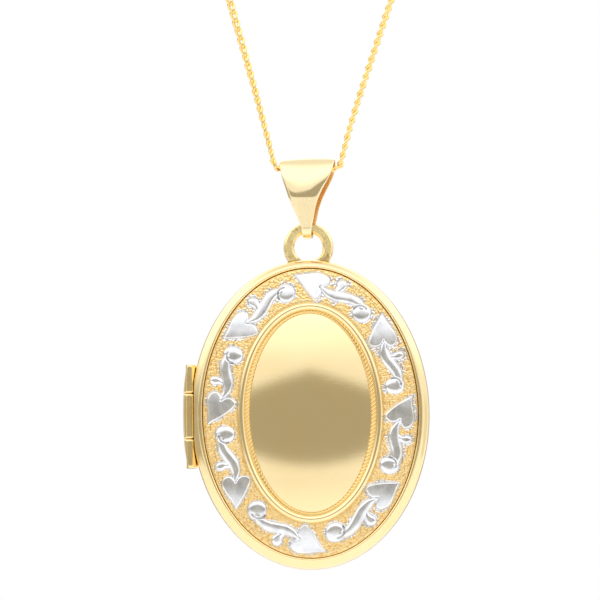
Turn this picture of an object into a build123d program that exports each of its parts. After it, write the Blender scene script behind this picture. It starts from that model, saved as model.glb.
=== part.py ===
"""An oval locket on a fine chain, in millimetres. X is right, Z is up, and the front faces -Y.

The origin is on the chain's axis, where it passes through the bail, and the locket hangs below it.
The two halves meet at Y = 0 and open like a book about the hinge on the left.
"""

import os
from math import cos, pi, radians, sin, sqrt, tan

from build123d import *

# Overall sizes of the closed locket
body_width = 25.0
body_height = 32.6
rim_depth = 1.95  # from the meeting face to the crown of one half's rim
plaque_rise = 0.85  # how far the front plaque's dome stands above its own edge
back_rise = 1.25  # the same for the plain back cover

# Bands of the front, from the outline inwards: (at the sides, at the top and bottom)
rim_band = (1.20, 1.03)
border_band = (3.71, 3.66)
raised_ring_band = (0.69, 0.77)
channel_band = (0.53, 0.36)

# Rims and covers
rim_wall = 1.75
rim_shoulder = 1.30  # depth of the shoulder that a cover sits on
crown_inset = 0.78  # the rim's highest line, in from the outline
crown_fall = 0.22  # how far the rim falls from there to the cover
rim_profile = ((0.10, 0.0), (0.0, 0.25), (0.06, 0.48), (0.22, 0.70), (0.46, 0.88))
# Each is (inset, share of rim_depth), from the meeting face up to the crown
cover_edge_rise = 0.32
cover_seat = 0.50  # width of the cover's edge that rests on the shoulder
sheet = 0.40
border_rise = 0.28
raised_ring_rise = 0.30
raised_ring_slope = 0.28  # width of the ring's outer slope
channel_depth = 0.20
plaque_edge_rise = 0.12
meeting_gap = 0.03  # each half stops this far short of the meeting face
cover_gap = 0.03

# Closing lip, photo frames, windows and cards
lip_wall = 0.30
lip_reach = 0.45  # how far the lip enters the front half
lip_gap = 0.05
frame_band = 1.20
frame_wall = 0.40
frame_plate = 0.20
window_thick = 0.25
card_thick = 0.20
frame_gap = 0.10

# Hinge
knuckle_r = 0.83
pin_r = 0.34
pin_clearance = 0.05
pin_proud = 0.08
end_knuckle = 2.90
middle_knuckle = 4.65
knuckle_gap = 0.15
hinge_offset = 0.20  # the axis stands this far outside the outline
hinge_flat = 0.32  # depth of the flat on the rims beside the knuckles
hinge_drop = 0.10  # the hinge's middle is this far below the body's
seat_clearance = 0.10
web_low = 0.15
web_high = 0.75

# Loop on top of the body, and bail
loop_r = 2.065
loop_wire_r = 0.565
loop_flat = 0.94
loop_sink = 1.22  # how much of the whole ring would lie below the body's top
loop_bite = 0.12  # how deep its feet are let into the back rim
bail_half_width = 2.95
bail_middle_half_width = 1.75
bail_neck_half_width = 0.72
bail_tongue_half_width = 0.60
bail_shoulder = 0.35  # height of the straight edges beside the fold
bail_middle = 0.42  # height of the two widths above, as shares of the bail's length
bail_neck = 0.82
bail_length = 8.43
bail_wall = 0.35
bail_top_r = 1.50
eye_clearance = 0.05
channel_clearance = 0.10

# Chain: its route turns up at each side of the bail, round the bail's edges
chain_d = 0.80
turn_r = 0.80
sharp_turn = 45  # degrees; a corner that turns more goes round the bail's edge
arc_share = 0.45  # how much of the shorter run a gentle corner's arc takes up
chain_route = (
    (-8.72, 20.6),
    (-5.66, 9.2),
    (-3.35, 0.0),
    (3.35, 0.0),
    (6.10, 9.2),
    (10.00, 20.6),
)

# Fittings on the chain's two ends
ring_r = 0.95
ring_wire_r = 0.25
eye_r = 0.80
eye_wire_r = 0.22
link_clearance = 0.04
clasp_r = 2.20
clasp_tube_r = 0.62
clasp_bore_r = 0.42
clasp_bite = 0.15  # how deep the eye is let into the case
bolt_r = 0.33
trigger_r = 0.20
trigger_reach = 1.10
slot_clearance = 0.10
spring_r = 0.28
spring_wire_r = 0.06
spring_coils = 14
tag_length = 6.40
tag_width = 3.20
tag_thick = 0.50
tag_margin = 0.45
tag_small_hole_r = 0.50
tag_hole_r = 1.00

# Angles round the clasp, from the side away from the chain
mouth_start = 25
mouth_end = 70
bolt_start = 17
bolt_end = 130
trigger_angle = 110
slot_start = 102
slot_end = 170
spring_start = 133
stop_start = 250
stop_end = 262
coil_arc = 3  # how far one coil of the spring reaches
past = 1  # how far a cut runs past the end that it opens

# Places that follow from the sizes above
chain_r = chain_d / 2
bail_top = chain_r + channel_clearance + bail_wall
loop_inside_r = loop_r - loop_wire_r
loop_drop = loop_inside_r - sqrt(loop_inside_r**2 - bail_neck_half_width**2)  # across the neck
eye_inner_r = loop_wire_r + loop_drop / 2 + eye_clearance
bail_eye_r = eye_inner_r + bail_wall
eye_z = bail_top - bail_length + bail_eye_r
loop_z = eye_z + loop_drop / 2 - loop_r
body_top = loop_z - loop_r - loop_wire_r + loop_sink
body_z = body_top - body_height / 2
hinge_x = -(body_width / 2 + hinge_offset)
hinge_z = body_z - hinge_drop
hinge_length = 2 * end_knuckle + middle_knuckle + 2 * knuckle_gap
seat_r = knuckle_r + seat_clearance
far = 10 * rim_depth  # more than any depth, for cuts that go right through


def inset(*bands):
    """The body's outline taken in by some bands, as semi-axes (across, up)."""
    across = body_width / 2 - sum(band[0] for band in bands)
    up = body_height / 2 - sum(band[1] for band in bands)
    return across, up


def even(amount):
    """A band that is equally wide all round."""
    return amount, amount


outline = inset()
groove = inset(rim_band)
cover_edge = inset(rim_band, even(cover_gap))
cover_hollow = inset(rim_band, even(cover_seat))
ring_outer = inset(rim_band, border_band)
ring_inner = inset(rim_band, border_band, raised_ring_band)
plaque = inset(rim_band, border_band, raised_ring_band, channel_band)
cavity = inset(even(rim_wall))
knuckle_outline = inset(even(-hinge_offset - knuckle_r))

edge_depth = rim_shoulder + cover_edge_rise
border_depth = edge_depth + border_rise
channel_floor = border_depth - channel_depth
plaque_depth = channel_floor + plaque_edge_rise


def depth_plane(side, depth):
    """A plane parallel to the meeting face, on the front (side -1) or the back (side 1)."""
    return Plane(origin=(0, side * depth, body_z), x_dir=(1, 0, 0), z_dir=(0, side, 0))


def oval_face(side, axes, depth):
    with BuildSketch(depth_plane(side, depth)) as face:
        Ellipse(*axes)
    return face.sketch.face()


def oval_block(side, axes, low, high, mode=Mode.ADD):
    """A straight oval block from one depth to another, in the part being built."""
    extrude(oval_face(side, axes, low), amount=high - low, mode=mode)


def oval_loft(side, sections, mode=Mode.ADD):
    """A block through ovals of (semi-axes, depth), straight between one and the next."""
    loft([oval_face(side, axes, depth) for axes, depth in sections], ruled=True, mode=mode)


def oval_dome(side, axes, depth, rise, mode=Mode.ADD):
    """A shallow dome over an oval: a round one, stretched along Z."""
    across, up = axes
    dome_r = (across**2 + rise**2) / (2 * rise)
    with BuildSketch(Plane.XZ, mode=Mode.PRIVATE) as half:
        with BuildLine():
            arc = RadiusArc((0, rise), (across, 0), dome_r)
            Polyline(arc @ 1, (0, 0), arc @ 0)
        make_face()
    dome = revolve(half.sketch, axis=Axis.Z, mode=Mode.PRIVATE)
    dome = scale(dome, by=(1, up / across, 1), mode=Mode.PRIVATE)
    add(depth_plane(side, depth).location * dome, mode=mode)


def hinge_cylinder(radius, length, middle=0.0, mode=Mode.ADD):
    """A cylinder on the hinge's axis, with its middle this far above the hinge's."""
    with Locations((hinge_x, 0, hinge_z + middle)):
        Cylinder(radius, length, mode=mode)


def finish(part, name):
    part.label = name
    export_step(part, f"parts/{name}.step")


def make_loop():
    """The flat-sided ring, cut where it meets the body. Its front stays clear of the front rim."""
    with BuildPart() as ring:
        with Locations(Location((0, 0, loop_z), (90, 0, 0))):
            Torus(loop_r, loop_wire_r)
        with Locations((0, 0, loop_z)):
            Box(far, loop_flat, far, mode=Mode.INTERSECT)
        oval_block(-1, inset(even(-seat_clearance)), -web_low, far, Mode.SUBTRACT)
        oval_block(1, inset(even(loop_bite)), web_low, far, Mode.SUBTRACT)
    return ring.part


def make_rim(side):
    """One half's rim: a rounded wall with a shoulder inside it, a flat and a seat for the hinge."""
    crown = inset(even(crown_inset))
    rising = [(inset(even(amount)), share * rim_depth) for amount, share in rim_profile]
    rising[0] = (rising[0][0], meeting_gap)
    mouth = (
        (groove, rim_shoulder),
        (groove, rim_depth - crown_fall),
        (crown, rim_depth + meeting_gap),
    )
    with BuildPart() as rim:
        oval_loft(side, (*rising, (crown, rim_depth)))
        oval_loft(side, mouth, Mode.SUBTRACT)
        oval_block(side, cavity, 0, rim_depth, Mode.SUBTRACT)
        hinge_cylinder(seat_r, hinge_length + 2 * knuckle_gap, mode=Mode.SUBTRACT)
        with Locations((-body_width / 2 + hinge_flat, 0, hinge_z)):
            Box(
                far,
                far,
                hinge_length + 2 * knuckle_gap,
                align=(Align.MAX, Align.CENTER, Align.CENTER),
                mode=Mode.SUBTRACT,
            )
    return rim.part


def make_front_cover():
    """The struck front sheet: border, raised ring, channel and domed plaque, hollow behind."""
    ring_crown = inset(rim_band, border_band, even(raised_ring_slope))
    under = channel_floor - sheet
    with BuildPart() as cover:
        oval_block(-1, cover_edge, rim_shoulder, edge_depth)
        oval_loft(-1, ((cover_edge, edge_depth), (ring_outer, border_depth)))
        oval_loft(-1, ((ring_outer, border_depth), (ring_crown, border_depth + raised_ring_rise)))
        oval_block(-1, ring_inner, channel_floor, far, Mode.SUBTRACT)
        oval_block(-1, plaque, channel_floor, plaque_depth)
        oval_dome(-1, plaque, plaque_depth, plaque_rise)
        oval_loft(
            -1, ((cover_hollow, rim_shoulder), (ring_outer, border_depth - sheet)), Mode.SUBTRACT
        )
        oval_block(-1, plaque, 0, under, Mode.SUBTRACT)
        oval_dome(-1, plaque, under, plaque_rise, Mode.SUBTRACT)
    return cover.part


def make_back_cover():
    """The plain back sheet: a shallow dome, hollow behind."""
    hollow_rise = edge_depth + back_rise - sheet - rim_shoulder
    with BuildPart() as cover:
        oval_block(1, cover_edge, rim_shoulder, edge_depth)
        oval_dome(1, cover_edge, edge_depth, back_rise)
        oval_dome(1, cover_hollow, rim_shoulder, hollow_rise, Mode.SUBTRACT)
    return cover.part


def make_photo_set(side, wall, depth):
    """A retaining frame with an oval opening, and the window and card that it holds."""
    pocket = inset(even(wall + frame_wall))
    window_depth = depth + frame_plate
    card_depth = window_depth + window_thick
    with BuildPart() as frame:
        oval_block(side, inset(even(wall)), depth, card_depth + card_thick)
        oval_block(side, inset(even(wall + frame_band)), 0, far, Mode.SUBTRACT)
        oval_block(side, pocket, window_depth, far, Mode.SUBTRACT)
    with BuildPart() as window:
        oval_block(side, pocket, window_depth, card_depth)
    with BuildPart() as card:
        oval_block(side, pocket, card_depth, card_depth + card_thick)
    return frame.part, window.part, card.part


def make_lip():
    """The thin oval wall that stands out of the back half and goes inside the front one."""
    with BuildPart() as lip:
        oval_block(1, inset(even(rim_wall + lip_gap)), -lip_reach, rim_shoulder)
        oval_block(1, cavity, frame_gap, rim_shoulder)
        oval_block(1, inset(even(rim_wall + lip_wall)), -far, far, Mode.SUBTRACT)
    return lip.part


def make_knuckle(side, length, middle, bore_r):
    """A hinge tube, trimmed to the body's oval, with a web that joins it to its own rim."""
    with BuildPart() as knuckle:
        hinge_cylinder(seat_r, length, middle)
        with Locations((hinge_x, side * (web_low + web_high) / 2, hinge_z + middle)):
            Box(
                2 * seat_r,
                web_high - web_low,
                length,
                align=(Align.MIN, Align.CENTER, Align.CENTER),
                mode=Mode.INTERSECT,
            )
        hinge_cylinder(knuckle_r, length, middle)
        hinge_cylinder(bore_r, length, middle, Mode.SUBTRACT)
        oval_block(1, knuckle_outline, -far, far, Mode.INTERSECT)
    return knuckle.part


def make_pin():
    with BuildPart() as pin:
        hinge_cylinder(pin_r, hinge_length + 2 * pin_proud)
    return pin.part


def bail_face():
    """The bail seen from the front: wide at the fold, drawn in to a narrow tongue."""
    shoulder_z = bail_top - bail_shoulder
    outline_points = (
        (bail_half_width, shoulder_z),
        (bail_middle_half_width, bail_top - bail_middle * bail_length),
        (bail_neck_half_width, bail_top - bail_neck * bail_length),
        (bail_tongue_half_width, bail_top - bail_length),
    )
    with BuildSketch(Plane.XZ) as face:
        with BuildLine():
            right = Spline(*outline_points)
            left = Spline(*((-x, z) for x, z in outline_points))
            Line(right @ 1, left @ 1)
            Polyline(
                right @ 0, (bail_half_width, bail_top), (-bail_half_width, bail_top), left @ 0
            )
        make_face()
    return face.sketch


def bail_side(top_r, lower_r):
    """The bail seen from the side: two circles and their tangents."""
    with BuildSketch(Plane.YZ) as side:
        with Locations((0, bail_top - bail_top_r)):
            Circle(top_r)
        with Locations((0, eye_z)):
            Circle(lower_r)
        make_hull()
    return side.sketch


def make_bail():
    with BuildPart() as bail:
        extrude(bail_side(bail_top_r, bail_eye_r), amount=bail_half_width, both=True)
        inside = bail_side(bail_top_r - bail_wall, eye_inner_r)
        extrude(inside, amount=far, both=True, mode=Mode.SUBTRACT)
        extrude(bail_face(), amount=far, both=True, mode=Mode.INTERSECT)
    return bail.part


def chain_radii():
    """The radius at each corner of the chain's route. The two at the bail go round its edges."""
    points = [Vector(x, z) for x, z in chain_route]
    radii = []
    for before, here, after in zip(points, points[1:], points[2:]):
        run_in, run_out = here - before, after - here
        turn = run_in.get_angle(run_out)
        largest = arc_share * min(run_in.length, run_out.length) / tan(radians(turn / 2))
        radii.append(min(largest, turn_r) if turn > sharp_turn else largest)
    return radii


def make_chain():
    with BuildPart() as tube:
        with BuildLine() as route:
            FilletPolyline(*((x, 0, z) for x, z in chain_route), radius=chain_radii())
        path = route.wire()
        with BuildSketch(Plane(origin=path @ 0, z_dir=path % 0)):
            Circle(chain_r)
        sweep(path=path)
    length = path.length
    print(f"chain: length {length:.2f} mm, radii", [round(r, 2) for r in chain_radii()])
    print(f"chain: volume {tube.part.volume:.2f}, section times length", end=" ")
    print(f"{pi * chain_r**2 * length:.2f} mm3")
    return tube.part


def end_plane(tip, before):
    """A plane at one end of the chain: X runs on along the strand, and Y across it."""
    along = Vector(tip[0] - before[0], 0, tip[1] - before[1])
    return Plane(origin=(tip[0], 0, tip[1]), x_dir=along, z_dir=(0, -1, 0))


def ring_at(plane, x, major, minor, tilt=0):
    """A wire ring with its centre this far along the plane's X."""
    with BuildPart() as ring:
        with Locations(plane * Location((x, 0, 0), (tilt, 0, 0))):
            Torus(major, minor)
    return ring.part


def clasp_arc(plane, x, radius, tube_r, start, end):
    """A bent rod round the clasp's centre, from one angle to another."""
    with BuildPart() as rod:
        start_plane = Plane(
            x_dir=(cos(radians(start)), sin(radians(start)), 0),
            z_dir=(sin(radians(start)), -cos(radians(start)), 0),
            origin=(0, 0, 0),
        )
        with BuildSketch(start_plane):
            with Locations((radius, 0)):
                Circle(tube_r)
        revolve(axis=Axis.Z, revolution_arc=end - start)
    return (plane * Location((x, 0, 0))) * rod.part


def clasp_peg(plane, x, angle, inner, outer, radius):
    """A round peg that points outwards from the clasp's centre."""
    with BuildPart() as peg:
        with Locations(Location((0, 0, 0), (0, 0, angle)) * Location((inner, 0, 0), (0, 90, 0))):
            Cylinder(radius, outer - inner, align=(Align.CENTER, Align.CENTER, Align.MIN))
    return (plane * Location((x, 0, 0))) * peg.part


def make_clasp(plane, x):
    """The case with its slot, the bolt with its trigger, and the spring behind the bolt."""
    slot_r = trigger_r + slot_clearance
    slot_reach = clasp_r + clasp_tube_r + slot_r
    case = clasp_arc(plane, x, clasp_r, clasp_tube_r, mouth_end, 360 + mouth_start)
    case -= clasp_arc(plane, x, clasp_r, clasp_bore_r, mouth_end - past, stop_start)
    case -= clasp_arc(plane, x, clasp_r, clasp_bore_r, stop_end, 360 + mouth_start + past)
    case -= clasp_arc(plane, x, slot_reach, clasp_tube_r + slot_r, slot_start, slot_end)
    bolt = clasp_arc(plane, x, clasp_r, bolt_r, bolt_start, bolt_end)
    bolt += clasp_peg(plane, x, trigger_angle, clasp_r, clasp_r + trigger_reach, trigger_r)
    pitch = (stop_start - spring_start) / spring_coils
    hole_r = spring_r - 2 * spring_wire_r
    spring = []
    for turn in range(spring_coils):
        angle = spring_start + pitch * (turn + 0.5) - coil_arc / 2
        coil = clasp_arc(plane, x, clasp_r, spring_r, angle, angle + coil_arc)
        spring.append(
            coil - clasp_arc(plane, x, clasp_r, hole_r, angle - past, angle + coil_arc + past)
        )
    return case, bolt, Compound(children=spring)


def make_tag(plane):
    """A flat tag with rounded ends: a small hole for its ring and a large one for the clasp."""
    low = 2 * ring_r - ring_wire_r - link_clearance - tag_margin
    small = low + tag_margin + tag_small_hole_r
    middle = low + tag_length / 2
    large = low + tag_length - tag_width / 2
    flat = Plane(origin=plane.origin, x_dir=plane.x_dir, z_dir=plane.y_dir)
    with BuildPart() as tag:
        with BuildSketch(flat):
            with Locations((middle, 0)):
                SlotOverall(tag_length, tag_width)
            with Locations((small, 0)):
                Circle(tag_small_hole_r, mode=Mode.SUBTRACT)
            with Locations((large, 0)):
                Circle(tag_hole_r, mode=Mode.SUBTRACT)
        extrude(amount=tag_thick / 2, both=True)
    centre = plane.from_local_coords((large, 0, 0))
    print("tag hole centre", tuple(centre), "axis", tuple(plane.y_dir))
    return tag.part


os.makedirs("parts", exist_ok=True)

# Front half
finish(make_rim(-1), "front_rim")
finish(make_front_cover(), "front_cover")
frame, window, card = make_photo_set(-1, rim_wall, lip_reach + frame_gap)
finish(frame, "front_photo_frame")
finish(window, "front_window")
finish(card, "front_photo")
finish(make_knuckle(-1, middle_knuckle, 0, pin_r + pin_clearance), "hinge_knuckle_middle")

# Back half
loop = make_loop()
finish(loop, "top_loop")
finish(make_rim(1) - loop, "back_rim")
finish(make_back_cover(), "back_cover")
finish(make_lip(), "snap_lip")
frame, window, card = make_photo_set(1, rim_wall + lip_wall, frame_gap)
finish(frame, "back_photo_frame")
finish(window, "back_window")
finish(card, "back_photo")
end_middle = (middle_knuckle + end_knuckle) / 2 + knuckle_gap
finish(make_knuckle(1, end_knuckle, end_middle, pin_r), "hinge_knuckle_top")
finish(make_knuckle(1, end_knuckle, -end_middle, pin_r), "hinge_knuckle_bottom")
finish(make_pin(), "hinge_pin")

# Bail, chain and the chain's ends
finish(make_bail(), "bail")
left_end = end_plane(chain_route[0], chain_route[1])
right_end = end_plane(chain_route[-1], chain_route[-2])
left_ring = ring_at(left_end, ring_r, ring_r, ring_wire_r)
right_ring = ring_at(right_end, ring_r, ring_r, ring_wire_r)
finish(left_ring, "chain_ring_left")
finish(right_ring, "chain_ring_right")
finish(make_chain() - left_ring - right_ring, "chain")
eye_x = 2 * ring_r + eye_r - ring_wire_r - eye_wire_r - link_clearance
clasp_x = eye_x + eye_r + eye_wire_r + clasp_tube_r + clasp_r - clasp_bite
clasp_case, clasp_bolt, clasp_spring = make_clasp(left_end, clasp_x)
finish(ring_at(left_end, eye_x, eye_r, eye_wire_r, tilt=90) - clasp_case, "clasp_eye")
finish(clasp_case, "clasp_case")
finish(clasp_bolt, "clasp_bolt")
finish(clasp_spring, "clasp_spring")
finish(make_tag(right_end), "end_tag")

print(f"origin to the body's middle {body_z:.3f}, loop {loop_z:.3f}, bail eye {eye_z:.3f}")
print(f"hinge at x {hinge_x:.3f}, z {hinge_z:.3f}, length {hinge_length:.3f}")
print("clasp centre", tuple(left_end.from_local_coords((clasp_x, 0, 0))))
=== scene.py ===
"""The looks of an oval two-colour locket on a fine chain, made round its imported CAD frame.

Lengths are in millimetres while a shape is worked out, and make_mesh turns them into metres.
X is right, Z is up and the front faces -Y, with the origin where the chain passes the bail.
"""

import math

import bpy
import numpy as np
from mathutils import Matrix, Vector


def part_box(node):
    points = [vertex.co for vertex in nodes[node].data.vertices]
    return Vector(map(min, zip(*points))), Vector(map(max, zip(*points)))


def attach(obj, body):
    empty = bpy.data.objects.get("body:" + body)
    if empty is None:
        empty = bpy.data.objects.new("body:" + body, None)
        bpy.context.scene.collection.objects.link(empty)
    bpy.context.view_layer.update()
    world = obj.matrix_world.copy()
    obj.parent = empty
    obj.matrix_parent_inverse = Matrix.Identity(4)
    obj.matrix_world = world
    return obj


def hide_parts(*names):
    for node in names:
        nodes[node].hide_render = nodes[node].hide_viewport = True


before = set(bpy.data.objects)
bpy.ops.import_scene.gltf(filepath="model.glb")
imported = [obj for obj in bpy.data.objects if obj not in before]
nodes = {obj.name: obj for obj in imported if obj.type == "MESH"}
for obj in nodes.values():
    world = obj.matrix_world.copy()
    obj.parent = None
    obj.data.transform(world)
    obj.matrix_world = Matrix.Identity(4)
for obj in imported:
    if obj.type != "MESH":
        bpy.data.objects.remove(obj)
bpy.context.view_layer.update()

MM = 0.001
TURN = 2 * math.pi


# --- Sizes taken from the frame ---

def corners(node):
    """A CAD node's lowest and highest corners, in millimetres."""
    low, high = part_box(node)
    return np.array(low) / MM, np.array(high) / MM


rim_low, rim_high = corners("back_rim")
cover_low, cover_high = corners("front_cover")
_, back_high = corners("back_cover")
bail_low, bail_high = corners("bail")
loop_low, loop_high = corners("top_loop")
pin_low, pin_high = corners("hinge_pin")

half_width = rim_high[0]
half_height = (rim_high[2] - rim_low[2]) / 2
body_z = (rim_high[2] + rim_low[2]) / 2
crown_depth = rim_high[1]
meeting_gap = rim_low[1]
cover_edge = (cover_high[0], (cover_high[2] - cover_low[2]) / 2)
plaque_apex = -cover_low[1]
back_apex = back_high[1]
hinge_x = (pin_low[0] + pin_high[0]) / 2
hinge_z = (pin_low[2] + pin_high[2]) / 2
loop_z = loop_high[2] - (loop_high[0] - loop_low[0]) / 2

# --- Sizes of the front that the boxes don't give ---

# An oval is (half width, half height). A depth is measured from the plane between the halves.
RING_OUTER = (7.59, 11.61)
RING_INNER = (6.90, 10.84)
PLAQUE = (6.37, 10.48)
EDGE_DEPTH = 1.62  # where the border and the back meet their rims
BORDER_DEPTH = 1.90  # where the border meets the raised ring
RING_CROWN = 2.20
CHANNEL_FLOOR = 1.70
PLAQUE_EDGE = 1.82
SHEET = 0.40


def smooth_step(x):
    x = np.clip(x, 0.0, 1.0)
    return x * x * (3 - 2 * x)


def grown(oval, by):
    """An oval that is larger by this much all round."""
    return oval[0] + by, oval[1] + by


def between(inner, outer, share):
    """The oval at this share of the way from one oval to another."""
    return tuple(a + (b - a) * share for a, b in zip(inner, outer))


# --- Camera ---

DISTANCE = 0.5
PICTURE_WIDTH = 0.0630  # what the picture takes in, at the locket's distance
LOOK_UP = math.radians(7.7)
ROLL = math.radians(0.65)
AIM_RIGHT = -1.09 * MM
AIM_UP = 12.02 * MM


def make_camera():
    """A long lens a little below the locket, which looks up at it."""
    data = bpy.data.cameras.new("camera")
    data.sensor_width = 36
    data.lens = data.sensor_width * DISTANCE / PICTURE_WIDTH
    data.clip_start = 0.01
    data.clip_end = 20
    camera = bpy.data.objects.new("camera", data)
    bpy.context.scene.collection.objects.link(camera)
    forward = Vector((0, math.cos(LOOK_UP), math.sin(LOOK_UP)))
    level = Vector((1, 0, 0))
    upright = Vector((0, -math.sin(LOOK_UP), math.cos(LOOK_UP)))
    right = math.cos(ROLL) * level - math.sin(ROLL) * upright
    up = math.sin(ROLL) * level + math.cos(ROLL) * upright
    centre = Vector((0, 0, body_z * MM))
    place = centre + AIM_RIGHT * right + AIM_UP * up - DISTANCE * forward
    turn = Matrix((right, up, -forward)).transposed().to_4x4()
    camera.matrix_world = Matrix.Translation(place) @ turn
    bpy.context.scene.camera = camera


# --- Mesh helpers ---

def make_mesh(name, points, faces, material):
    """An object from points in millimetres."""
    mesh = bpy.data.meshes.new(name)
    mesh.from_pydata((np.asarray(points, float) * MM).tolist(), [], faces)
    mesh.polygons.foreach_set("use_smooth", [True] * len(mesh.polygons))
    mesh.materials.append(material)
    mesh.validate()
    mesh.update()
    made = bpy.data.objects.new(name, mesh)
    bpy.context.scene.collection.objects.link(made)
    return made


def points_of(made):
    """An object's points, in millimetres."""
    return np.array([vertex.co for vertex in made.data.vertices]) / MM


def move_points(made, points):
    made.data.vertices.foreach_set("co", (points * MM).astype(np.float32).ravel())
    made.data.update()


def set_attribute(made, name, values):
    """A number for each of an object's points, for its material to read."""
    attribute = made.data.attributes.new(name, "FLOAT", "POINT")
    attribute.data.foreach_set("value", np.asarray(values, np.float32).ravel())


def grid_faces(rows, columns, wrap_rows=True, start=0):
    """Quads over a grid of points whose columns run all the way round."""
    row = np.arange(rows if wrap_rows else rows - 1)[:, None]
    column = np.arange(columns)[None, :]
    below = row * columns
    above = (row + 1) % rows * columns
    beside = (column + 1) % columns
    quads = np.stack([below + column, below + beside, above + beside, above + column], -1)
    return (quads.reshape(-1, 4) + start).tolist()


def cap_faces(first_row, last_row, columns, first_middle, last_middle):
    """Triangles that close a grid's first and last rows, each to a point in its middle."""
    faces = []
    for i in range(columns):
        j = (i + 1) % columns
        faces.append([first_middle, first_row + j, first_row + i])
        faces.append([last_middle, last_row + i, last_row + j])
    return faces


def turned(faces):
    """The same faces, seen from their other side."""
    return [face[::-1] for face in faces]


def spline(points, steps, closed=False):
    """A smooth curve through the points, as a row of points (Catmull-Rom)."""
    points = np.asarray(points, float)
    if closed:
        padded = np.concatenate([points[-1:], points, points[:2]])
    else:
        first, last = 2 * points[0] - points[1], 2 * points[-1] - points[-2]
        padded = np.concatenate([[first], points, [last]])
    t = np.linspace(0, 1, steps, endpoint=False)[:, None]
    curve = []
    for a, b, c, d in zip(padded, padded[1:], padded[2:], padded[3:]):
        bend = (2 * a - 5 * b + 4 * c - d) * t**2 + (3 * b - a - 3 * c + d) * t**3
        curve.append(0.5 * (2 * b + (c - a) * t + bend))
    if not closed:
        curve.append(points[-1:])
    return np.concatenate(curve)


def oval_run(oval, steps):
    """Parameters round an oval, clockwise from its top, and the distance round to each."""
    fine = np.linspace(0, TURN, steps)
    x, z = oval[0] * np.sin(fine), oval[1] * np.cos(fine)
    return fine, np.concatenate([[0], np.cumsum(np.hypot(np.diff(x), np.diff(z)))])


def even_oval(oval, count):
    """Parameters of evenly spaced places round an oval, and the whole distance round it."""
    fine, run = oval_run(oval, 8001)
    return np.interp(np.arange(count) / count * run[-1], run, fine), run[-1]


def oval_points(across, up, depth, t, side):
    """Points of one oval at a depth on the front (side -1) or back (side 1)."""
    return np.stack(
        [across * np.sin(t), np.full_like(t, side * depth), body_z + up * np.cos(t)], -1
    )


def swept_oval(name, profile, side, columns, material):
    """A closed ring: a section of (across, up, depth), swept round the oval."""
    t, _ = even_oval((half_width, half_height), columns)
    points = [oval_points(across, up, depth, t, side) for across, up, depth in profile]
    faces = grid_faces(len(profile), columns)
    if side > 0:
        faces = turned(faces)
    return make_mesh(name, np.concatenate(points), faces, material)


def dome_rows(oval, edge_depth, apex, count):
    """Rows of a dome from its middle to just short of its edge, each (across, up, depth)."""
    rise = apex - edge_depth
    dome_r = (oval[0] ** 2 + rise**2) / (2 * rise)
    rows = []
    for share in np.sin(np.linspace(0, 0.5, count) * math.pi)[:-1]:
        fall = dome_r - math.sqrt(dome_r**2 - (oval[0] * share) ** 2)
        rows.append((oval[0] * share, oval[1] * share, apex - fall))
    return rows


def hollow_rows(oval, shares, edge_depth, rise):
    """Rows of a dome's inner face, from near its edge to its middle."""
    rows = [(oval[0] * s, oval[1] * s, edge_depth + rise * (1 - s**2)) for s in shares]
    return rows + [(0, 0, edge_depth + rise)]


def dome_object(name, profile, side, columns, material):
    """A closed shell from the middle of its outer face, over its edge, to the middle inside."""
    t, _ = even_oval((half_width, half_height), columns)
    rows = [oval_points(across, up, depth, t, side) for across, up, depth in profile[1:-1]]
    top = [0, side * profile[0][2], body_z]
    under = [0, side * profile[-1][2], body_z]
    points = np.concatenate([[top], *rows, [under]])
    faces = grid_faces(len(rows), columns, wrap_rows=False, start=1)
    faces += cap_faces(1, 1 + (len(rows) - 1) * columns, columns, 0, len(points) - 1)
    if side > 0:
        faces = turned(faces)
    return make_mesh(name, points, faces, material), t


# --- Materials ---

GOLD = (1.0, 0.81, 0.46, 1)
WARM_GOLD = (1.0, 0.72, 0.30, 1)
# Painted light bounced between the channel's gold walls
CHANNEL_BOUNCE_GOLD = (0.98, 0.68, 0.27, 1)
GROUND_LIGHT = (1, 0.785, 0.42, 1)
GROUND_WARM = (1, 0.68, 0.26, 1)
# Painted shade on the border's gold ground, in its hollows
GROUND_PAINTED_SHADE = (0.84, 0.46, 0.11, 1)
SILVER = (0.91, 0.92, 0.95, 1)
DULL_SILVER = (0.74, 0.75, 0.78, 1)
# Painted shade on the border's rhodium, in its hollows
SILVER_PAINTED_SHADE = (0.36, 0.36, 0.37, 1)
BAIL_LIGHT = (0.98, 0.82, 0.50, 1)
BAIL_WARM = (0.98, 0.74, 0.38, 1)
# Painted light bounced between the bail's leaves, on its inner face
BAIL_PAINTED_BOUNCE = (0.86, 0.49, 0.14, 1)
LOOP_GOLD = (1.0, 0.81, 0.40, 1)
# Dark brown patches on the loop, most low on its sides
LOOP_DARK_PATCH = (0.42, 0.27, 0.07, 1)
HINGE_LIGHT = (0.98, 0.78, 0.40, 1)
HINGE_WARM = (0.90, 0.62, 0.24, 1)
CHAIN_LIGHT = (0.98, 0.73, 0.29, 1)
CHAIN_WARM = (0.88, 0.57, 0.16, 1)
STEEL_DARK = (0.55, 0.55, 0.57, 1)
STEEL_LIGHT = (0.68, 0.68, 0.70, 1)
IVORY_DARK = (0.82, 0.78, 0.68, 1)
IVORY_LIGHT = (0.90, 0.87, 0.80, 1)


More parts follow.
